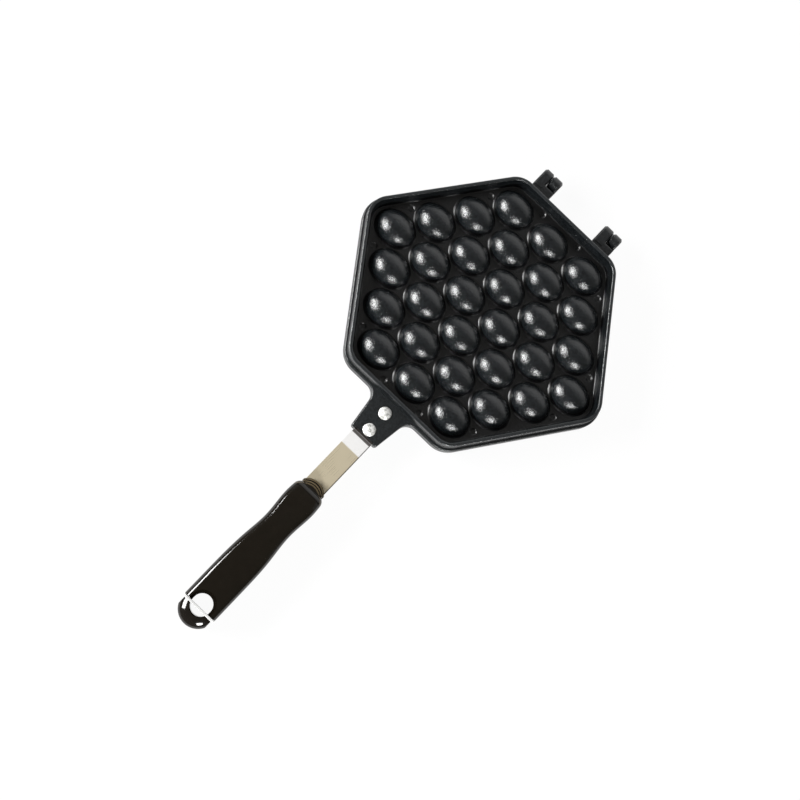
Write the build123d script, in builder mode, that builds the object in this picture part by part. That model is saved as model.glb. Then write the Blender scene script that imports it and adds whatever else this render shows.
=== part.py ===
"""Egg waffle pan: two hinged cast halves, each with a strap and a grip, locked by a wire bail.

Millimetres. +Y runs along the handle towards the hinge, +Z up, with the origin below the
middle of the closed pan, on the plane it rests on. Both halves are one casting: the lower
one is the upper one turned half a turn about the handle's axis in the parting plane.
"""
import os
from math import asin, atan2, cos, degrees, sin, tan

from build123d import *

os.makedirs("parts", exist_ok=True)

# ---------------------------------------------------------------- driving dimensions
# Egg cells: a dome on the outside and a cup on the inside of each half
row_counts = (3, 4, 5, 6, 5, 4, 3)
cell_pitch = 32.5  # between neighbours in a row
row_pitch = 22.63
dome_half_x = 14.6
dome_half_y = 11.9
dome_foot_reach = 1.0  # of the hollow foot round a dome
dome_foot_height = 1.5
dome_below_rim = 0.3
cup_side_wall = 1.4
cup_top_wall = 1.9

# Casting: flat plate with a flange, and a rim that stands up round the domes
flat_margin = 19.4  # outer row of domes to the rim's outside, hinge and handle sides
slant_margin = 20.8  # the same on the four slanted sides
corner_radius = 16.0
rim_height = 10.9
rim_top_width = 2.45
rim_inner_draft = 1.2
rim_outer_draft = 0.4
rim_edge = 0.8
floor_edge = 0.9
flange_width = 2.3
flange_edge = 1.2
plate_height = 4.5  # parting plane to the floor between the domes
parting_gap = 0.2
land_width = 5.0  # closing face round the inside
web_recess = 1.0  # room for the waffle's thin web, in each half
land_edge = 0.4
mark_radius = 2.5  # round sinks left in the floor by the mould's pins
mark_flat_radius = 1.5
mark_depth = 0.55
mark_offset = 12.5  # out from the line of the outer domes

# Hinge: each half has an outer knuckle on one side and an inner one on the other
hinge_reach = 16.4  # rim to hinge axis
knuckle_radius = 5.0
knuckle_inner_x = 20.5
knuckle_split_x = 28.65
knuckle_outer_x = 36.3
knuckle_gap = 0.2
knuckle_edge = 1.2
ledge_clearance = 1.3
ledge_root_radius = 2.0
hinge_pin_radius = 2.0
hinge_pin_edge = 0.4
running_clearance = 0.05

# Bracket for the strap, an extension of the flange
bracket_length = 27.6
bracket_root_half_width = 14.9
bracket_end_half_width = 11.0
bracket_root_radius = 8.0
bracket_end_radius = 1.8
bracket_lip = 1.3  # side horns beyond the plate's end
rivet_first = 8.9  # rim to the first rivet
rivet_spacing = 15.2
rivet_head_radius = 4.4
rivet_head_height = 1.9
rivet_head_edge = 0.5
rivet_shank_radius = 2.3
rivet_tail_radius = 3.4
rivet_tail_height = 0.6

# Strap
strap_width = 15.9
strap_thickness = 1.6
strap_lift = 0.9  # above the parting plane, inside the bracket
strap_side_clearance = 0.2
strap_start = 5.5  # past the first rivet
strap_corner_radius = 2.0
strap_bend_start = 0.4  # past the end of the bracket's plate
strap_slope_run = 14.1
strap_bend_radius = 3.0
tang_width = 10.0
tang_shoulder = 6.0  # full width kept this far into the grip
tang_length = 78.0

# Grip: a collar, a front swell, a waist and a rounded end with the hang hole
grip_front = 73.1  # rim to the foremost point of the collar
collar_length = 5.6
collar_half_width = 9.0
collar_thickness = 10.6
collar_front_bulge = 4.2  # its rounded front, seen from above
collar_groove_first = 1.3  # behind the front
collar_groove_pitch = 1.5
collar_groove_width = 0.7
collar_groove_depth = 0.5
grip_length = 117.2  # collar to the end
shoulder_half_width = 11.2
swell_at = 11.0
swell_half_width = 11.85
waist_at = 31.5
waist_half_width = 10.55
flare_at = 49.0
flare_half_width = 11.9
full_from = 90.0
grip_half_width = 13.05
grip_thickness = 14.0
grip_gap = 0.6  # between the closed grips
grip_crown = 1.6
grip_under_crown = 0.8
shoulder_radius = 5.5
grip_edge = 4.8
hang_hole_width = 14.0
hang_hole_length = 15.0
hang_hole_from_end = 8.4
countersink_width = 2.4  # round the hang hole, on the outer side
countersink_depth = 3.0
nose_crown = 6.4  # rise of the upper grip's rounded nose over its widest level
nose_clearance = 0.6  # under the wire's swing

# Wire bail, hooked into the lower grip and closed over the upper one
wire_radius = 0.9
wire_clearance = 0.3
bail_from_end = 13.3
bail_rise = 0.1  # wire's middle above the upper grip's top
bail_leg_inset = 0.4  # leg's middle inside the grip's widest side
bail_hook_depth = 2.4
bail_hook_radius = 1.3
bail_top_radius = 1.5

# ---------------------------------------------------------------- worked-out places
half_rows = (len(row_counts) - 1) / 2
slope = atan2(2 * row_pitch, cell_pitch)  # of the slanted sides, to +X
rim_flat = half_rows * row_pitch + flat_margin
rim_slant = (max(row_counts) - 1) / 2 * cell_pitch * sin(slope) + slant_margin

parting = plate_height + rim_height
floor = parting + plate_height
pan_top = parting + plate_height + rim_height

far_reach = rim_flat + hinge_reach + knuckle_radius
near_reach = rim_flat + grip_front + collar_length + grip_length
pan_y = (near_reach - far_reach) / 2

hinge_y = pan_y + rim_flat + hinge_reach
ledge_y = hinge_y - knuckle_radius - ledge_clearance
flange_near_y = pan_y - rim_flat - flange_width
flange_far_y = pan_y + rim_flat + flange_width
bracket_y = flange_near_y - bracket_length
rivet_front_y = pan_y - rim_flat - rivet_first
rivet_rear_y = rivet_front_y - rivet_spacing
collar_y = pan_y - rim_flat - grip_front
shoulder_y = collar_y - collar_length
end_y = shoulder_y - grip_length

grip_bottom = parting + grip_gap / 2
grip_middle = grip_bottom + grip_thickness / 2
grip_top = grip_bottom + grip_thickness
bail_y = end_y + bail_from_end
bail_pivot_z = 2 * parting - grip_middle
bail_top_z = grip_top + bail_rise
bail_leg_x = grip_half_width - bail_leg_inset
relief_x = bail_leg_x - wire_radius - wire_clearance
relief_y = bail_y + wire_radius + wire_clearance

cells = [
    (cell_pitch * (place - (count - 1) / 2), pan_y + row_pitch * (row - half_rows))
    for row, count in enumerate(row_counts)
    for place in range(count)
]
turn_over = Axis((0, 0, parting), (0, 1, 0))


def pan_outline(grow):
    """Corners of the six-sided plan, the rim's outside moved out by grow."""
    flat = rim_flat + grow
    slant = rim_slant + grow
    side_x = slant / sin(slope)
    flat_x = (slant - flat * cos(slope)) / sin(slope)
    return [
        (side_x, pan_y),
        (flat_x, pan_y + flat),
        (-flat_x, pan_y + flat),
        (-side_x, pan_y),
        (-flat_x, pan_y - flat),
        (flat_x, pan_y - flat),
    ]


def mark_places():
    """Two pin marks along each side, in the gaps between the outer domes."""
    end_x = (row_counts[0] - 1) / 2 * cell_pitch
    end_y = half_rows * row_pitch
    places = []
    for side in (-1, 1):
        for level in (-1, 1):
            places.append((side * cell_pitch / 2, pan_y + level * (end_y + mark_offset)))
            for gap in (0.5, half_rows - 0.5):
                x = end_x + gap * cell_pitch / 2 + mark_offset * sin(slope)
                y = end_y - gap * row_pitch + mark_offset * cos(slope)
                places.append((side * x, pan_y + level * y))
    return places


# ---------------------------------------------------------------- one dome and one cup
dome_height = rim_height - dome_below_rim
dome_foot_y = dome_half_y + dome_foot_reach
dome_foot_angle = asin(dome_foot_height / dome_height)
dome_foot_top = (dome_half_y * cos(dome_foot_angle), dome_foot_height)
dome_foot_tangent = (dome_half_y * sin(dome_foot_angle), -dome_height * cos(dome_foot_angle))
dome_sunk = plate_height / 4

# The dome is turned as round as its narrow side, then stretched along X
with BuildPart() as dome:
    with BuildSketch(Plane.XZ):
        with BuildLine():
            EllipticalCenterArc(
                (0, 0),
                dome_half_y,
                dome_height,
                start_angle=degrees(dome_foot_angle),
                arc_size=90 - degrees(dome_foot_angle),
            )
            TangentArc(dome_foot_top, (dome_foot_y, 0), tangent=dome_foot_tangent)
            Polyline(
                (dome_foot_y, 0),
                (dome_foot_y, -dome_sunk),
                (0, -dome_sunk),
                (0, dome_height),
            )
        make_face()
    revolve(axis=Axis.Z)
    scale(by=(dome_half_x / dome_half_y, 1, 1))

with BuildPart() as cup:
    Sphere(1)
    scale(
        by=(
            dome_half_x - cup_side_wall,
            dome_half_y - cup_side_wall,
            plate_height + dome_height - cup_top_wall,
        )
    )

# ---------------------------------------------------------------- upper casting
ledge_depth = ledge_y - flange_far_y
ledge_width = knuckle_outer_x - knuckle_inner_x
ledge_x = (knuckle_outer_x + knuckle_inner_x) / 2
channel_half_width = strap_width / 2 + strap_side_clearance
strap_start_y = rivet_front_y + strap_start
# Knuckles of the upper half: outer one at -X, inner one at +X
upper_knuckles = (
    (-knuckle_outer_x, -knuckle_split_x - knuckle_gap / 2),
    (knuckle_inner_x, knuckle_split_x - knuckle_gap / 2),
)

with BuildPart() as upper_pan:
    # Plate with its flange, the two hinge ledges and the bracket, all one level
    with BuildSketch(Plane.XY.offset(parting + parting_gap / 2)) as plate_plan:
        with BuildLine():
            Polyline(*pan_outline(flange_width), close=True)
        make_face()
        fillet(plate_plan.vertices(), corner_radius + flange_width)
        for side in (-1, 1):
            with Locations((side * ledge_x, ledge_y - ledge_depth)):
                Rectangle(ledge_width, 2 * ledge_depth)
        with BuildLine():
            Polyline(
                (-bracket_root_half_width, flange_near_y + flange_width),
                (-bracket_root_half_width, flange_near_y),
                (-bracket_end_half_width, bracket_y),
                (bracket_end_half_width, bracket_y),
                (bracket_root_half_width, flange_near_y),
                (bracket_root_half_width, flange_near_y + flange_width),
                close=True,
            )
        make_face()
        roots = plate_plan.vertices().filter_by_position(
            Axis.Y, flange_near_y - 0.01, flange_near_y + 0.01
        )
        fillet(
            [root for root in roots if abs(abs(root.X) - bracket_root_half_width) < 0.01],
            bracket_root_radius,
        )
        ledge_roots = plate_plan.vertices().filter_by_position(
            Axis.Y, flange_far_y - 0.01, flange_far_y + 0.01
        )
        fillet(
            [root for root in ledge_roots if abs(root.X) < knuckle_outer_x + 0.01],
            ledge_root_radius,
        )
        fillet(plate_plan.vertices().group_by(Axis.Y)[0], bracket_end_radius)
    extrude(amount=plate_height - parting_gap / 2)
    fillet(upper_pan.faces().sort_by(Axis.Z)[-1].edges(), flange_edge)
    chamfer(upper_pan.faces().sort_by(Axis.Z)[0].edges(), land_edge)

    # Rim: a drafted wall, hollowed down to the floor
    for level, grow in ((floor, rim_outer_draft), (pan_top, 0)):
        with BuildSketch(Plane.XY.offset(level)) as outside:
            with BuildLine():
                Polyline(*pan_outline(grow), close=True)
            make_face()
            fillet(outside.vertices(), corner_radius + grow)
    loft(ruled=True)
    for level, grow in ((floor, -rim_top_width - rim_inner_draft), (pan_top, -rim_top_width)):
        with BuildSketch(Plane.XY.offset(level)) as inside:
            with BuildLine():
                Polyline(*pan_outline(grow), close=True)
            make_face()
            fillet(inside.vertices(), corner_radius + grow)
    loft(ruled=True, mode=Mode.SUBTRACT)
    fillet(upper_pan.faces().sort_by(Axis.Z)[-1].edges(), rim_edge)
    floor_face = upper_pan.faces().filter_by(Plane.XY).filter_by_position(
        Axis.Z, floor - 0.01, floor + 0.01
    ).sort_by(SortBy.AREA)[-1]
    fillet(floor_face.edges(), floor_edge)

    # Domes, and the marks left by the mould's pins
    with Locations(*[(x, y, floor) for x, y in cells]):
        add(dome.part)
    with Locations(*[(x, y, floor - mark_depth / 2) for x, y in mark_places()]):
        Cone(mark_flat_radius, mark_radius, mark_depth, mode=Mode.SUBTRACT)

    # Inner face: web recess inside the closing land, then the cups
    with BuildSketch(Plane.XY.offset(parting)) as web:
        with BuildLine():
            Polyline(*pan_outline(flange_width - land_width), close=True)
        make_face()
        fillet(web.vertices(), corner_radius + flange_width - land_width)
    extrude(amount=parting_gap / 2 + web_recess, mode=Mode.SUBTRACT)
    with Locations(*[(x, y, parting) for x, y in cells]):
        add(cup.part, mode=Mode.SUBTRACT)

    # Channel and rivet holes of the bracket; the side walls end as two short horns
    with BuildSketch(Plane.XY.offset(parting)):
        with Locations((0, (strap_start_y + strap_side_clearance + bracket_y) / 2 - bracket_lip)):
            Rectangle(
                2 * channel_half_width,
                strap_start_y + strap_side_clearance - bracket_y + 2 * bracket_lip,
            )
    extrude(amount=strap_lift + strap_thickness, mode=Mode.SUBTRACT)
    with BuildSketch(Plane.XY.offset(parting)):
        with Locations((0, bracket_y)):
            Rectangle(2 * channel_half_width, 2 * bracket_lip)
    extrude(amount=2 * plate_height, mode=Mode.SUBTRACT)
    with BuildSketch(Plane.XY.offset(parting)):
        with Locations((0, rivet_front_y), (0, rivet_rear_y)):
            Circle(rivet_shank_radius)
    extrude(amount=2 * plate_height, mode=Mode.SUBTRACT)

    # Hinge knuckles on their arms, bored for the pins
    for low_x, high_x in upper_knuckles:
        with BuildSketch(Plane.YZ.offset(low_x)):
            with Locations((hinge_y, parting)):
                Circle(knuckle_radius)
            with Locations(((ledge_y - ledge_depth / 2 + hinge_y) / 2, parting + knuckle_radius / 2)):
                Rectangle(hinge_y - ledge_y + ledge_depth / 2, knuckle_radius)
        extrude(amount=high_x - low_x)
    knuckle_ends = (
        upper_pan.edges()
        .filter_by(GeomType.CIRCLE)
        .filter_by(lambda edge: abs(edge.radius - knuckle_radius) < 0.01)
    )
    chamfer(knuckle_ends, knuckle_edge)
    with BuildSketch(Plane.YZ.offset(-knuckle_outer_x)):
        with Locations((hinge_y, parting)):
            Circle(hinge_pin_radius + running_clearance)
    extrude(amount=2 * knuckle_outer_x, mode=Mode.SUBTRACT)
upper_pan.part.label = "upper_pan"

with BuildPart() as lower_pan:
    add(upper_pan.part.rotate(turn_over, 180))
lower_pan.part.label = "lower_pan"

# ---------------------------------------------------------------- hinge pins
hinge_pins = []
for side, name in ((-1, "hinge_pin_left"), (1, "hinge_pin_right")):
    with BuildPart() as hinge_pin:
        with BuildSketch(Plane.YZ.offset(side * ledge_x)):
            with Locations((hinge_y, parting)):
                Circle(hinge_pin_radius)
        extrude(amount=ledge_width / 2, both=True)
        chamfer(hinge_pin.edges().filter_by(GeomType.CIRCLE), hinge_pin_edge)
    hinge_pin.part.label = name
    hinge_pins.append(hinge_pin.part)

# ---------------------------------------------------------------- straps
strap_low = parting + strap_lift
tang_low = grip_middle - strap_thickness / 2
strap_bend_y = bracket_y + bracket_lip - strap_bend_start
strap_crease_y = strap_bend_y - strap_slope_run
tang_end_y = collar_y - tang_length
strap_slope = atan2(tang_low - strap_low, strap_slope_run)
bend_shift = strap_thickness * tan(strap_slope / 2)

with BuildPart() as upper_strap:
    # Side view: flat in the bracket, up the slope, level into the grip
    with BuildSketch(Plane.YZ) as strap_side:
        with BuildLine():
            Polyline(
                (strap_start_y, strap_low),
                (strap_bend_y, strap_low),
                (strap_crease_y, tang_low),
                (tang_end_y, tang_low),
                (tang_end_y, tang_low + strap_thickness),
                (strap_crease_y + bend_shift, tang_low + strap_thickness),
                (strap_bend_y + bend_shift, strap_low + strap_thickness),
                (strap_start_y, strap_low + strap_thickness),
                close=True,
            )
        make_face()
        bends = strap_side.vertices().filter_by_position(
            Axis.X, strap_crease_y - 0.01, strap_bend_y + bend_shift + 0.01
        )
        inner_bends = [bends.sort_by(Axis.X)[-1], bends.sort_by(Axis.X)[0]]
        outer_bends = [bends.sort_by(Axis.X)[-2], bends.sort_by(Axis.X)[1]]
        fillet(inner_bends, strap_bend_radius)
        fillet(outer_bends, strap_bend_radius + strap_thickness)
    extrude(amount=strap_width / 2, both=True)
    fillet(
        upper_strap.edges().filter_by(Axis.Z).group_by(Axis.Y)[-1],
        strap_corner_radius,
    )
    # The tang is narrower inside the grip
    with BuildSketch(Plane.XY.offset(tang_low)):
        for side in (-1, 1):
            with Locations((side * strap_width / 2, collar_y - (tang_shoulder + tang_length) / 2)):
                Rectangle(strap_width - tang_width, tang_length - tang_shoulder)
    extrude(amount=strap_thickness, mode=Mode.SUBTRACT)
    with BuildSketch(Plane.XY.offset(strap_low)):
        with Locations((0, rivet_front_y), (0, rivet_rear_y)):
            Circle(rivet_shank_radius)
    extrude(amount=strap_thickness, mode=Mode.SUBTRACT)
upper_strap.part.label = "upper_strap"

with BuildPart() as lower_strap:
    add(upper_strap.part.rotate(turn_over, 180))
lower_strap.part.label = "lower_strap"

# ---------------------------------------------------------------- rivets
rivet_dome_height = rivet_head_height - rivet_head_edge
rivet_dome_radius = (rivet_head_radius**2 + rivet_dome_height**2) / (2 * rivet_dome_height)
rivet_dome_angle = degrees(asin(rivet_head_radius / rivet_dome_radius))

rivets = []
for place_y, place in ((rivet_front_y, "front"), (rivet_rear_y, "rear")):
    with BuildPart() as rivet:
        # Round profile: tail under the strap, shank, domed head on the bracket
        with BuildSketch(Plane.XZ.offset(-place_y)):
            with BuildLine():
                Polyline(
                    (0, floor + rivet_head_height),
                    (0, strap_low - rivet_tail_height),
                    (rivet_tail_radius, strap_low - rivet_tail_height),
                    (rivet_tail_radius, strap_low),
                    (rivet_shank_radius, strap_low),
                    (rivet_shank_radius, floor),
                    (rivet_head_radius, floor),
                    (rivet_head_radius, floor + rivet_head_edge),
                )
                CenterArc(
                    (0, floor + rivet_head_height - rivet_dome_radius),
                    rivet_dome_radius,
                    start_angle=90 - rivet_dome_angle,
                    arc_size=rivet_dome_angle,
                )
            make_face()
        revolve(axis=Axis((0, place_y, 0), (0, 0, 1)))
    rivet.part.label = "upper_rivet_" + place
    rivets.append(rivet.part)
    with BuildPart() as turned_rivet:
        add(rivet.part.rotate(turn_over, 180))
    turned_rivet.part.label = "lower_rivet_" + place
    rivets.append(turned_rivet.part)

# ---------------------------------------------------------------- grips
side_points = [
    (shoulder_half_width, shoulder_y),
    (swell_half_width, shoulder_y - swell_at),
    (waist_half_width, shoulder_y - waist_at),
    (flare_half_width, shoulder_y - flare_at),
    (grip_half_width, shoulder_y - full_from),
]
round_y = end_y + grip_half_width
crown_half_width = grip_half_width + grip_edge

# Cuts the grooves of the collar: curved bands round an oval core
with BuildPart() as collar_grooves:
    for groove in range(2):
        groove_y = collar_y - collar_groove_first - groove * collar_groove_pitch
        with BuildSketch(Plane.XY.offset(grip_middle)):
            with BuildLine():
                ThreePointArc(
                    (-collar_half_width, groove_y - collar_front_bulge),
                    (0, groove_y),
                    (collar_half_width, groove_y - collar_front_bulge),
                )
                Line(
                    (collar_half_width, groove_y - collar_front_bulge),
                    (collar_half_width, groove_y - collar_groove_width - collar_front_bulge),
                )
                ThreePointArc(
                    (collar_half_width, groove_y - collar_groove_width - collar_front_bulge),
                    (0, groove_y - collar_groove_width),
                    (-collar_half_width, groove_y - collar_groove_width - collar_front_bulge),
                )
                Line(
                    (-collar_half_width, groove_y - collar_groove_width - collar_front_bulge),
                    (-collar_half_width, groove_y - collar_front_bulge),
                )
            make_face()
        extrude(amount=collar_thickness, both=True)
    with BuildSketch(Plane.XZ.offset(-collar_y)):
        with Locations((0, grip_middle)):
            Ellipse(collar_half_width - collar_groove_depth, collar_thickness / 2 - collar_groove_depth)
    extrude(amount=2 * collar_length, mode=Mode.SUBTRACT)

with BuildPart() as collar:
    with BuildSketch(Plane.XY.offset(grip_middle)):
        with BuildLine():
            ThreePointArc(
                (-collar_half_width, collar_y - collar_front_bulge),
                (0, collar_y),
                (collar_half_width, collar_y - collar_front_bulge),
            )
            Polyline(
                (collar_half_width, collar_y - collar_front_bulge),
                (collar_half_width, shoulder_y - shoulder_radius),
                (-collar_half_width, shoulder_y - shoulder_radius),
                (-collar_half_width, collar_y - collar_front_bulge),
            )
        make_face()
    extrude(amount=collar_thickness / 2, both=True)
    with BuildSketch(Plane.XZ.offset(-collar_y)):
        with Locations((0, grip_middle)):
            Ellipse(collar_half_width, collar_thickness / 2)
    extrude(amount=collar_length + shoulder_radius, mode=Mode.INTERSECT)
    add(collar_grooves.part, mode=Mode.SUBTRACT)

with BuildPart() as grip:
    # Plan view
    with BuildSketch(Plane.XY.offset(grip_bottom)) as grip_plan:
        with BuildLine():
            Spline(*side_points, tangents=((0, -1), (0, -1)))
            Line((grip_half_width, shoulder_y - full_from), (grip_half_width, round_y))
            ThreePointArc((grip_half_width, round_y), (0, end_y), (-grip_half_width, round_y))
            Line((-grip_half_width, round_y), (-grip_half_width, shoulder_y - full_from))
            Spline(*[(-x, y) for x, y in reversed(side_points)], tangents=((0, 1), (0, 1)))
            Line((-shoulder_half_width, shoulder_y), (shoulder_half_width, shoulder_y))
        make_face()
        fillet(grip_plan.vertices().group_by(Axis.Y)[-1], shoulder_radius)
    extrude(amount=grip_thickness)
    # Cross-section: well crowned above, nearly flat towards the other grip
    with BuildSketch(Plane.XZ.offset(-shoulder_y)):
        with BuildLine():
            ThreePointArc(
                (-crown_half_width, grip_top - grip_crown),
                (0, grip_top),
                (crown_half_width, grip_top - grip_crown),
            )
            Line(
                (crown_half_width, grip_top - grip_crown),
                (crown_half_width, grip_bottom + grip_under_crown),
            )
            ThreePointArc(
                (crown_half_width, grip_bottom + grip_under_crown),
                (0, grip_bottom),
                (-crown_half_width, grip_bottom + grip_under_crown),
            )
            Line(
                (-crown_half_width, grip_bottom + grip_under_crown),
                (-crown_half_width, grip_top - grip_crown),
            )
        make_face()
    extrude(amount=grip_length, mode=Mode.INTERSECT)
    fillet(grip.faces().sort_by(Axis.Z)[-1].edges(), grip_edge)
    fillet(grip.faces().sort_by(Axis.Z)[0].edges(), grip_edge)

    # Collar in front, then the socket moulded round the strap's tang
    add(collar.part)
    with BuildSketch(Plane.XZ.offset(-collar_y)):
        with Locations((0, grip_middle)):
            Rectangle(strap_width, strap_thickness)
    extrude(amount=tang_shoulder, mode=Mode.SUBTRACT)
    with BuildSketch(Plane.XZ.offset(-collar_y)):
        with Locations((0, grip_middle)):
            Rectangle(tang_width, strap_thickness)
    extrude(amount=tang_length, mode=Mode.SUBTRACT)

    # Sides relieved for the legs of the bail, from its stop to the end
    with BuildSketch(Plane.XY.offset(grip_bottom)):
        for side in (-1, 1):
            with Locations((side * (relief_x + grip_half_width / 2), relief_y - grip_half_width)):
                Rectangle(grip_half_width, 2 * grip_half_width)
    extrude(amount=grip_thickness, mode=Mode.SUBTRACT)

    # Hang hole
    hang_hole_y = end_y + hang_hole_from_end + hang_hole_length / 2
    with BuildSketch(Plane.XY.offset(grip_bottom)):
        with Locations((0, hang_hole_y)):
            SlotOverall(hang_hole_length, hang_hole_width, rotation=90)
    extrude(amount=grip_thickness, mode=Mode.SUBTRACT)
    for level, wider in ((grip_top - countersink_depth, 0), (grip_top, countersink_width)):
        with BuildSketch(Plane.XY.offset(level)):
            with Locations((0, hang_hole_y)):
                SlotOverall(hang_hole_length + 2 * wider, hang_hole_width + 2 * wider, rotation=90)
    loft(ruled=True, mode=Mode.SUBTRACT)

# The upper grip's nose is an oval cap, low enough for the wire to swing over it
swing_radius = bail_top_z - bail_pivot_z - wire_radius - wire_clearance
nose_middle_z = bail_pivot_z + swing_radius - nose_clearance - nose_crown

with BuildPart() as nose_cap:
    Sphere(1)
    scale(by=(grip_half_width + running_clearance, grip_half_width + running_clearance, nose_crown))

with BuildPart() as nose_cutter:
    with BuildSketch(Plane.XY.offset(nose_middle_z)):
        with Locations((0, relief_y - grip_half_width)):
            Rectangle(4 * grip_half_width, 2 * grip_half_width)
    extrude(amount=grip_thickness)
    with Locations((0, end_y + grip_half_width, nose_middle_z)):
        add(nose_cap.part, mode=Mode.SUBTRACT)

with BuildPart() as upper_grip:
    add(grip.part)
    add(nose_cutter.part, mode=Mode.SUBTRACT)
upper_grip.part.label = "upper_grip"

with BuildPart() as lower_grip:
    add(grip.part.rotate(turn_over, 180))
    # Blind holes for the hooked ends of the bail
    for side in (-1, 1):
        with BuildSketch(Plane.YZ.offset(side * relief_x)):
            with Locations((bail_y, bail_pivot_z)):
                Circle(wire_radius + running_clearance)
        extrude(amount=-side * bail_hook_depth, mode=Mode.SUBTRACT)
lower_grip.part.label = "lower_grip"

# ---------------------------------------------------------------- bail
bail_tip_x = relief_x - bail_hook_depth + wire_clearance

with BuildPart() as bail_wire:
    with BuildLine(Plane.XZ.offset(-bail_y)):
        FilletPolyline(
            (-bail_tip_x, bail_pivot_z),
            (-bail_leg_x, bail_pivot_z),
            (-bail_leg_x, bail_top_z),
            (bail_leg_x, bail_top_z),
            (bail_leg_x, bail_pivot_z),
            (bail_tip_x, bail_pivot_z),
            radius=(bail_hook_radius, bail_top_radius, bail_top_radius, bail_hook_radius),
        )
    with BuildSketch(Plane.YZ.offset(-bail_tip_x)):
        with Locations((bail_y, bail_pivot_z)):
            Circle(wire_radius)
    sweep()
bail_wire.part.label = "bail_wire"

# ---------------------------------------------------------------- one STEP file for each piece
pieces = [
    upper_pan.part,
    lower_pan.part,
    *hinge_pins,
    upper_strap.part,
    lower_strap.part,
    *rivets,
    upper_grip.part,
    lower_grip.part,
    bail_wire.part,
]
for piece in pieces:
    export_step(piece, "parts/" + piece.label + ".step")
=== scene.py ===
import math

import bmesh
import bpy
from mathutils import Matrix, Vector

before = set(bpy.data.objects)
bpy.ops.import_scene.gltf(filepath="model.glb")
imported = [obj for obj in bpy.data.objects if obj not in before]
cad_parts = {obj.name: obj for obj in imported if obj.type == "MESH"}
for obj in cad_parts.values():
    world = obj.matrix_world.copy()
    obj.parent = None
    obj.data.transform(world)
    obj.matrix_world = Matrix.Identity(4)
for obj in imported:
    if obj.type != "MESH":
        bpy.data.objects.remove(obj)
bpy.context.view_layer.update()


# ---------------------------------------------------------------- camera
# The pan is seen from above, a little from the handle's side, with the handle pointing to
# the lower left of the picture. The camera stands 0.85 m over the parting plane.
CAMERA_PLACE = Vector((0.0004, -0.1636, 0.8652))
CAMERA_AIM = Vector((0.0010, 0.0055, 0.0154))
CAMERA_ROLL = math.radians(43.96)
CAMERA_LENS = 58.5  # mm
CAMERA_SENSOR = 36  # mm across
CAMERA_NEAREST = 0.01

camera = bpy.data.objects.new("camera", bpy.data.cameras.new("camera"))
bpy.context.scene.collection.objects.link(camera)
camera.data.lens = CAMERA_LENS
camera.data.sensor_width = CAMERA_SENSOR
camera.data.clip_start = CAMERA_NEAREST
looking = (CAMERA_AIM - CAMERA_PLACE).to_track_quat("-Z", "Y").to_matrix().to_4x4()
camera.matrix_world = (
    Matrix.Translation(CAMERA_PLACE) @ looking @ Matrix.Rotation(CAMERA_ROLL, 4, "Z")
)
bpy.context.scene.camera = camera


# ---------------------------------------------------------------- cast halves
# Two identical die-cast aluminium halves under a black non-stick coat: a satin enamel with
# fine metallic flakes and a pebbled skin. It is duller on the lower levels. Painted shade
# darkens the floor between the domes, and a painted sheen makes the top of the rim paler.
COAT_BLACK = (0.0018, 0.0024, 0.0029, 1)
COAT_FLAKE = (0.0125, 0.0148, 0.0162, 1)
# painted shade on the floor between the domes
COAT_PAINTED_SHADE = (0.0008, 0.0008, 0.0009, 1)
# painted sheen on the top of the rim
COAT_RIM_SHEEN = (0.0180, 0.0200, 0.0212, 1)
PAINTED_SHADE_SHARE = 0.85
RIM_SHEEN_SHARE = 0.7
COAT_SHINE = 0.74
COAT_ROUGHNESS = 0.18
COAT_LOW_ROUGHNESS = 0.13  # more on the lower levels
COAT_CLOUDS = 0.12  # by how much the roughness drifts
COAT_GRIT = 0.15  # and changes from bump to bump
FLAKES_TO_METRE = 1300
FLAKE_SPREAD = ((0.15, 0), (1.0, 1))
CLOUDS_TO_METRE = 60
PEBBLES_TO_METRE = 900
PEBBLE_HEIGHT = 0.00025

PARTING = 0.0154  # height of the plane where the halves meet
PAN_MIDDLE = 0.08725  # along Y
RIM_FLAT = 0.08729  # from the middle to the rim's outside, hinge and handle sides
RIM_SLANT = 0.08680  # the same on the slanted sides
RIM_SLOPE = math.radians(54.32)  # of the slanted sides, to +X
INSIDE_RIM = 0.955  # share of the way from the middle to the rim's outside
RIM_TOP = 0.0148  # from the parting plane
DOME_FOOT = 0.0063  # from the parting plane
DOME_FOOT_FADE = 0.0016

RISING = ((0.0, 0), (1.0, 1))
FALLING = ((0.0, 1), (1.0, 0))


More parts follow.
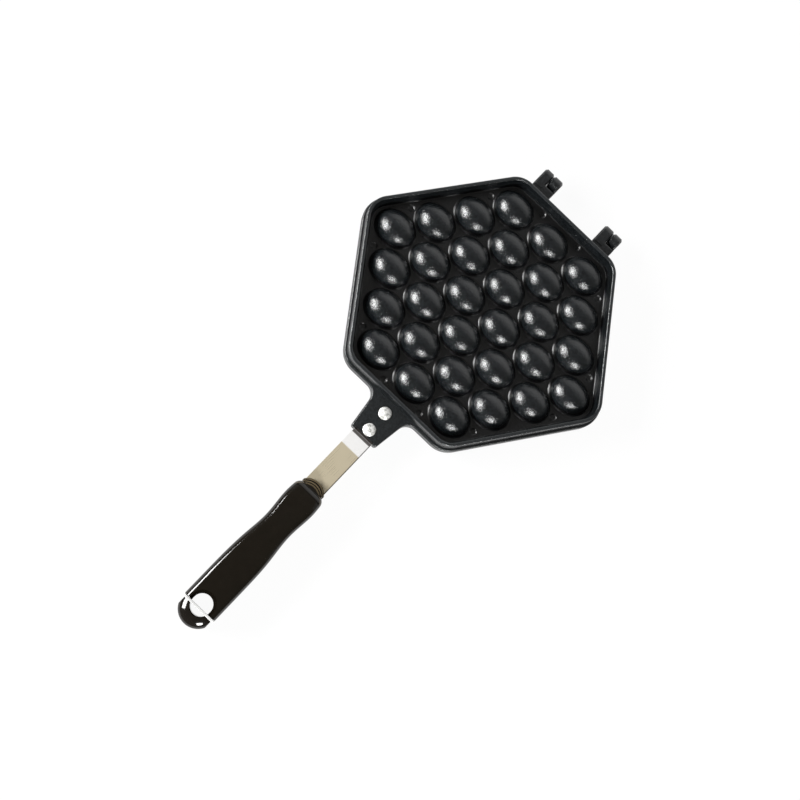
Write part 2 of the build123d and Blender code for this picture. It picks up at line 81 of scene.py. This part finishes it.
class Socket:
    """An output socket of a material; arithmetic on it adds Math nodes."""

    def __init__(self, tree, socket=None):
        self.tree = tree
        self.socket = socket

    def node(self, kind, settings=None, inputs=None, output=0):
        """Adds a node, its settings first, and returns one of its outputs."""
        made = self.tree.nodes.new(kind)
        for name, value in (settings or {}).items():
            if name == "stops":
                ramp = made.color_ramp.elements
                while len(ramp) < len(value):
                    ramp.new(1)
                for stop, (place, level) in zip(ramp, value):
                    stop.position = place
                    stop.color = level if isinstance(level, tuple) else (level, level, level, 1)
            else:
                setattr(made, name, value)
        for name, value in (inputs or {}).items():
            if isinstance(value, Socket):
                self.tree.links.new(value.socket, made.inputs[name])
            else:
                made.inputs[name].default_value = value
        return Socket(self.tree, made.outputs[output] if made.outputs else None)

    def math(self, operation, first, second=0.0):
        """A Math node on two values."""
        return self.node("ShaderNodeMath", {"operation": operation}, {0: first, 1: second})

    def mix(self, factor, first, second):
        """A colour between two colours."""
        return self.node(
            "ShaderNodeMix", {"data_type": "RGBA"}, {0: factor, 6: first, 7: second}, 2
        )

    def axis(self, name):
        """One axis of this vector."""
        return self.node("ShaderNodeSeparateXYZ", None, {"Vector": self}, name)

    def __add__(self, other):
        return self.math("ADD", self, other)

    def __sub__(self, other):
        return self.math("SUBTRACT", self, other)

    def __rsub__(self, other):
        return self.math("SUBTRACT", other, self)

    def __mul__(self, other):
        return self.math("MULTIPLY", self, other)

    __radd__ = __add__
    __rmul__ = __mul__


def new_material(name):
    """An empty material, its tree, and a place on the object to read patterns from."""
    material = bpy.data.materials.new(name)
    material.use_nodes = True
    material.node_tree.nodes.clear()
    tree = Socket(material.node_tree)
    place = tree.node("ShaderNodeTexCoord", output="Object")
    return material, tree, place


def finish_material(tree, **sockets):
    """Closes a material with a Principled BSDF that takes the given sockets."""
    inputs = {name.replace("_", " "): value for name, value in sockets.items()}
    surface = tree.node("ShaderNodeBsdfPrincipled", inputs=inputs)
    tree.node("ShaderNodeOutputMaterial", inputs={"Surface": surface})


def dress(node, material):
    """Gives a piece of the frame its finish."""
    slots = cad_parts[node].data.materials
    slots.clear()
    slots.append(material)


coat, tree, place = new_material("non-stick coat")
flakes = tree.node(
    "ShaderNodeTexVoronoi",
    {"feature": "F1"},
    {"Vector": place, "Scale": FLAKES_TO_METRE},
    "Color",
)
flake = tree.node("ShaderNodeValToRGB", {"stops": FLAKE_SPREAD}, {"Fac": flakes})
cloud = tree.node(
    "ShaderNodeTexNoise",
    None,
    {"Vector": place, "Scale": CLOUDS_TO_METRE, "Detail": 4, "Roughness": 0.6},
)
pebble = tree.node(
    "ShaderNodeTexNoise",
    None,
    {"Vector": place, "Scale": PEBBLES_TO_METRE, "Detail": 2, "Roughness": 0.7},
)
skin = tree.node(
    "ShaderNodeBump", None, {"Strength": 1.0, "Distance": PEBBLE_HEIGHT, "Height": pebble}
)

# How far a point lies from the middle, where 1 is the rim's outside, and from the parting
sideways = tree.math("ABSOLUTE", place.axis("X"))
forward = tree.math("ABSOLUTE", place.axis("Y") - PAN_MIDDLE)
height = place.axis("Z") - PARTING
above = tree.math("ABSOLUTE", height)
slanted = sideways * math.sin(RIM_SLOPE) + forward * math.cos(RIM_SLOPE)
outward = tree.math("MAXIMUM", forward * (1 / RIM_FLAT), slanted * (1 / RIM_SLANT))

low = tree.node(
    "ShaderNodeValToRGB",
    {"stops": FALLING},
    {"Fac": (above - DOME_FOOT) * (1 / DOME_FOOT_FADE)},
)
facing = tree.node("ShaderNodeTexCoord", output="Normal")
outer_face = tree.math("GREATER_THAN", facing.axis("Z") * height, 0.0)
# where the painted shade goes: the floor between the domes, inside the rim
valley_painted_shade = low * outer_face * tree.math("LESS_THAN", outward, INSIDE_RIM)
# where the painted sheen goes: the top of the rim
rim_sheen_painted = tree.math("GREATER_THAN", above, RIM_TOP) * tree.math(
    "GREATER_THAN", outward, INSIDE_RIM
)
speckled = tree.mix(flake, COAT_BLACK, COAT_FLAKE)
finish_material(
    tree,
    Base_Color=tree.mix(
        valley_painted_shade * PAINTED_SHADE_SHARE, tree.mix(rim_sheen_painted * RIM_SHEEN_SHARE, speckled, COAT_RIM_SHEEN), COAT_PAINTED_SHADE
    ),
    Roughness=(
        COAT_ROUGHNESS
        + low * COAT_LOW_ROUGHNESS
        + (cloud - 0.5) * COAT_CLOUDS
        + (pebble - 0.5) * COAT_GRIT
    ),
    Specular_IOR_Level=COAT_SHINE,
    Normal=skin,
)
dress("upper_pan", coat)
dress("lower_pan", coat)


# ---------------------------------------------------------------- hinge pins
# Two short pins of plain turned steel, pressed through the interleaved knuckles of the
# halves, with fine marks from the lathe.
PIN_GREY = (0.48, 0.48, 0.47, 1)
PIN_ROUGHNESS = 0.28
TURNING_TO_METRE = 900
TURNING = 0.15  # by how much the marks change the roughness

pin_steel, tree, place = new_material("turned pin steel")
turning = tree.node(
    "ShaderNodeTexNoise", None, {"Vector": place, "Scale": TURNING_TO_METRE, "Detail": 2}
)
finish_material(
    tree,
    Base_Color=PIN_GREY,
    Metallic=1.0,
    Roughness=PIN_ROUGHNESS + turning * TURNING,
)
dress("hinge_pin_left", pin_steel)
dress("hinge_pin_right", pin_steel)


# ---------------------------------------------------------------- straps
# Each grip is carried by a strip of polished stainless steel, bent up from the bracket and
# level again into the grip. It keeps faint rolling lines along its length. Painted light is
# added to its colour: a painted dark reflection along one edge, a band of painted shade and
# reflection of the bracket's end at its foot, crossed by a painted highlight line, and a straw
# tint on its level part as a painted reflection of the warm ceiling.
STRAP_CLEAN = (0.91, 0.90, 0.885, 1), (0.97, 0.965, 0.95, 1)
# painted reflection: the straw tint of the level part
STRAP_PAINTED_REFLECTION = (0.58, 0.51, 0.37, 1), (0.65, 0.575, 0.42, 1)
# painted shade and reflection of the bracket's end: a dark band at the strap's foot
STRAP_PAINTED_SHADE = (0.03, 0.02, 0.015, 1)
SHADE_BAND_FROM = -0.0284  # along Y, at the bracket
SHADE_BAND_LENGTH = 0.0042
# its stops leave a lighter painted highlight line across the band
SHADE_BAND_STOPS = ((0.0, 0.95), (0.36, 0.95), (0.42, 0.55), (0.5, 0.93), (0.88, 0.9), (1.0, 0.0))
REFLECTION_TINT_FROM = -0.0424  # along Y, where the strip turns level
REFLECTION_TINT_FADE = 0.0008
# painted dark reflection along the strap's +X edge
EDGE_SHADE_FROM = 0.00715  # along X
EDGE_SHADE_FADE = 0.00025
EDGE_SHADE_SHARE = 0.8
STRAP_METALLIC = 0.55
STRAP_ROUGHNESS = 0.22
LINES_STRETCH = (1.0, 0.02, 1.0)
LINES_TO_METRE = 2500
LINES = 0.08  # by how much the rolling lines change the roughness
SMEARS_TO_METRE = 90
SMEARS = 0.06  # by how much the smears change it

strap_steel, tree, place = new_material("polished strap steel")
drawn = tree.node("ShaderNodeMapping", None, {"Vector": place, "Scale": LINES_STRETCH})
lines = tree.node(
    "ShaderNodeTexNoise", None, {"Vector": drawn, "Scale": LINES_TO_METRE, "Detail": 3}
)
smears = tree.node(
    "ShaderNodeTexNoise", None, {"Vector": place, "Scale": SMEARS_TO_METRE, "Detail": 3}
)
along = place.axis("Y")
# the painted band of shade and reflection at the foot
shade_band = tree.node(
    "ShaderNodeValToRGB",
    {"stops": SHADE_BAND_STOPS},
    {"Fac": (SHADE_BAND_FROM - along) * (1 / SHADE_BAND_LENGTH)},
)
# painted reflection tint on the level part
level_reflection = tree.node(
    "ShaderNodeValToRGB", {"stops": RISING}, {"Fac": (REFLECTION_TINT_FROM - along) * (1 / REFLECTION_TINT_FADE)}
)
# painted dark reflection along the edge
edge_shade = tree.node(
    "ShaderNodeValToRGB",
    {"stops": RISING},
    {"Fac": (place.axis("X") - EDGE_SHADE_FROM) * (1 / EDGE_SHADE_FADE)},
)
finish_material(
    tree,
    Base_Color=tree.mix(
        tree.math("MAXIMUM", shade_band, edge_shade * EDGE_SHADE_SHARE),
        tree.mix(level_reflection, tree.mix(smears, *STRAP_CLEAN), tree.mix(smears, *STRAP_PAINTED_REFLECTION)),
        STRAP_PAINTED_SHADE,
    ),
    Metallic=STRAP_METALLIC,
    Roughness=STRAP_ROUGHNESS + lines * LINES + smears * SMEARS,
)
dress("upper_strap", strap_steel)
dress("lower_strap", strap_steel)


# ---------------------------------------------------------------- rivets
# Two rivets hold each strap in its bracket: bright aluminium heads, domed by the riveting
# tool, with small dull dents left by it.
RIVET_DULL = (0.38, 0.38, 0.36, 1)
RIVET_BRIGHT = (0.88, 0.88, 0.85, 1)
RIVET_METALLIC = 0.55
RIVET_ROUGHNESS = 0.42
DENTS_TO_METRE = 620
DENT_SPREAD = ((0.36, 0), (0.56, 1))
DENT_DEPTH = 0.00045
DENTS = 0.12  # by how much the dents change the roughness

rivet_metal, tree, place = new_material("bright rivet")
dents = tree.node(
    "ShaderNodeTexNoise", None, {"Vector": place, "Scale": DENTS_TO_METRE, "Detail": 3}
)
mottle = tree.node("ShaderNodeValToRGB", {"stops": DENT_SPREAD}, {"Fac": dents})
finish_material(
    tree,
    Base_Color=tree.mix(mottle, RIVET_DULL, RIVET_BRIGHT),
    Metallic=RIVET_METALLIC,
    Roughness=RIVET_ROUGHNESS + dents * DENTS,
    Normal=tree.node(
        "ShaderNodeBump", None, {"Strength": 1.0, "Distance": DENT_DEPTH, "Height": dents}
    ),
)
for half in ("upper", "lower"):
    for row in ("front", "rear"):
        dress(half + "_rivet_" + row, rivet_metal)


# ---------------------------------------------------------------- grips
# Grips of glossy black-brown phenolic, pressed round the strap's tang, with the slight
# waviness of a moulded skin. Bronze-brown stripes are painted on the ribs of the collar as
# painted reflections.
PHENOLIC = (0.0036, 0.0028, 0.0019, 1), (0.0066, 0.0050, 0.0034, 1)
# painted reflection on the ribs of the collar
RIB_PAINTED_REFLECTION = (0.085, 0.065, 0.037, 1)
PHENOLIC_SHINE = 0.6
PHENOLIC_ROUGHNESS = 0.07
MARBLE_TO_METRE = 220
MARBLE = 0.05  # by how much the marbling changes the roughness
WAVES_TO_METRE = 55
WAVE_STRENGTH = 0.35
WAVE_HEIGHT = 0.0005
COLLAR_FRONT = -0.07314  # along Y, on the middle line
COLLAR_ARC = 52  # how much the rounded front falls back, per metre squared
COLLAR_DEPTH = 0.0048
RIB_REFLECTION_STOPS = (  # from the collar's front (0) to its back (1)
    (0.0, 0),
    (0.05, 0.8),
    (0.2, 0.8),
    (0.26, 0),
    (0.42, 0),
    (0.46, 1.0),
    (0.58, 0.9),
    (0.62, 0),
    (0.74, 0),
    (0.78, 0.8),
    (0.9, 0.6),
    (1.0, 0),
)

phenolic, tree, place = new_material("moulded phenolic")
waves = tree.node(
    "ShaderNodeTexNoise", None, {"Vector": place, "Scale": WAVES_TO_METRE, "Detail": 2}
)
marble = tree.node(
    "ShaderNodeTexNoise", None, {"Vector": place, "Scale": MARBLE_TO_METRE, "Detail": 4}
)
across = place.axis("X")
along = place.axis("Y")
behind = COLLAR_FRONT - across * across * COLLAR_ARC - along
# where the painted reflections on the ribs go
rib_reflection = tree.node(
    "ShaderNodeValToRGB", {"stops": RIB_REFLECTION_STOPS}, {"Fac": behind * (1 / COLLAR_DEPTH)}
)
finish_material(
    tree,
    Base_Color=tree.mix(rib_reflection, tree.mix(marble, *PHENOLIC), RIB_PAINTED_REFLECTION),
    Roughness=PHENOLIC_ROUGHNESS + marble * MARBLE,
    Specular_IOR_Level=PHENOLIC_SHINE,
    Normal=tree.node(
        "ShaderNodeBump",
        None,
        {"Strength": WAVE_STRENGTH, "Distance": WAVE_HEIGHT, "Height": waves},
    ),
)
dress("upper_grip", phenolic)
dress("lower_grip", phenolic)


# ---------------------------------------------------------------- wire bail
# One length of bright drawn steel wire, hooked into the lower grip and bent over the upper
# one to hold the pan closed.
WIRE_BRIGHT = (0.95, 0.95, 0.94, 1)
WIRE_METALLIC = 0.6
WIRE_ROUGHNESS = 0.22
DRAW_MARKS_TO_METRE = 700
DRAW_MARKS = 0.1  # by how much the marks change the roughness

wire_steel, tree, place = new_material("drawn wire steel")
draw_marks = tree.node(
    "ShaderNodeTexNoise", None, {"Vector": place, "Scale": DRAW_MARKS_TO_METRE, "Detail": 3}
)
finish_material(
    tree,
    Base_Color=WIRE_BRIGHT,
    Metallic=WIRE_METALLIC,
    Roughness=WIRE_ROUGHNESS + draw_marks * DRAW_MARKS,
)
dress("bail_wire", wire_steel)


# ---------------------------------------------------------------- floor and light
# The pan lies on a plain white table. A large soft box stands on the left of the handle, a
# smaller one on its right, and the room is brightest at the wall behind the hinge.
FLOOR_SIZE = 12.0
FLOOR_PLACE = -0.0004
FLOOR_PAINT = (0.9, 0.9, 0.9, 1)
FLOOR_GLOW = 0.95  # share of plain white that the camera and mirrors see
WHITE = (1, 1, 1, 1)
LIGHT_AIM = Vector((0, 0.05, 0.02))
# Brightness of the room, from the handle's side (0) over the dim ceiling to the wall
# behind the hinge (1)
ROOM_LEVELS = (
    (0.0, 0.18),
    (0.35, 0.12),
    (0.5, (0.11, 0.10, 0.08, 1)),
    (0.56, (0.13, 0.12, 0.10, 1)),
    (0.58, 0.38),
    (0.60, 0.32),
    (0.63, 0.05),
    (0.69, 0.05),
    (0.76, 0.42),
    (0.87, 0.80),
    (1.0, 0.9),
)

floor_mesh = bpy.data.meshes.new("table")
floor = bpy.data.objects.new("table", floor_mesh)
bpy.context.scene.collection.objects.link(floor)
sheet = bmesh.new()
bmesh.ops.create_grid(
    sheet,
    x_segments=1,
    y_segments=1,
    size=FLOOR_SIZE / 2,
    matrix=Matrix.Translation((0, 0, FLOOR_PLACE)),
)
sheet.to_mesh(floor_mesh)
sheet.free()

table_white, tree, _ = new_material("table white")
camera_ray, glossy_ray, transmission_ray = (
    tree.node("ShaderNodeLightPath", output=kind)
    for kind in ("Is Camera Ray", "Is Glossy Ray", "Is Transmission Ray")
)
seen = tree.math("MAXIMUM", tree.math("MAXIMUM", camera_ray, glossy_ray), transmission_ray)
paint = tree.node("ShaderNodeBsdfDiffuse", None, {"Color": FLOOR_PAINT})
glow = tree.node("ShaderNodeEmission", None, {"Color": WHITE, "Strength": 1.0})
surface = tree.node("ShaderNodeMixShader", None, {0: seen * FLOOR_GLOW, 1: paint, 2: glow})
tree.node("ShaderNodeOutputMaterial", None, {"Surface": surface})
floor_mesh.materials.append(table_white)

world = bpy.data.worlds.new("studio")
bpy.context.scene.world = world
world.use_nodes = True
world.node_tree.nodes.clear()
tree = Socket(world.node_tree)
ways = tree.node("ShaderNodeTexCoord", output="Generated")
levels = tree.node(
    "ShaderNodeValToRGB", {"stops": ROOM_LEVELS}, {"Fac": ways.axis("Y") * 0.5 + 0.5}
)
room = tree.node("ShaderNodeBackground", None, {"Color": levels, "Strength": 1.0})
white = tree.node("ShaderNodeBackground", None, {"Color": WHITE, "Strength": 1.0})
camera_ray = tree.node("ShaderNodeLightPath", output="Is Camera Ray")
backdrop = tree.node("ShaderNodeMixShader", None, {0: camera_ray, 1: room, 2: white})
tree.node("ShaderNodeOutputWorld", None, {"Surface": backdrop})


def soft_box(name, bearing, height, distance, wide, high, radiance):
    """A soft box aimed at the pan, placed by its compass bearing from +X and its height."""
    bearing = math.radians(bearing)
    height = math.radians(height)
    towards = Vector(
        (
            math.cos(bearing) * math.cos(height),
            math.sin(bearing) * math.cos(height),
            math.sin(height),
        )
    )
    light = bpy.data.lights.new(name, "AREA")
    light.shape = "RECTANGLE"
    light.size = wide
    light.size_y = high
    light.energy = radiance * math.pi * wide * high
    made = bpy.data.objects.new(name, light)
    made.matrix_world = Matrix.Translation(LIGHT_AIM + towards * distance) @ (
        (-towards).to_track_quat("-Z", "Y").to_matrix().to_4x4()
    )
    bpy.context.scene.collection.objects.link(made)


soft_box("left box", bearing=208, height=34, distance=1.6, wide=1.05, high=0.52, radiance=28)
soft_box("right box", bearing=311, height=25.5, distance=1.6, wide=0.42, high=0.38, radiance=41)
bpy.context.scene.view_settings.view_transform = "Standard"
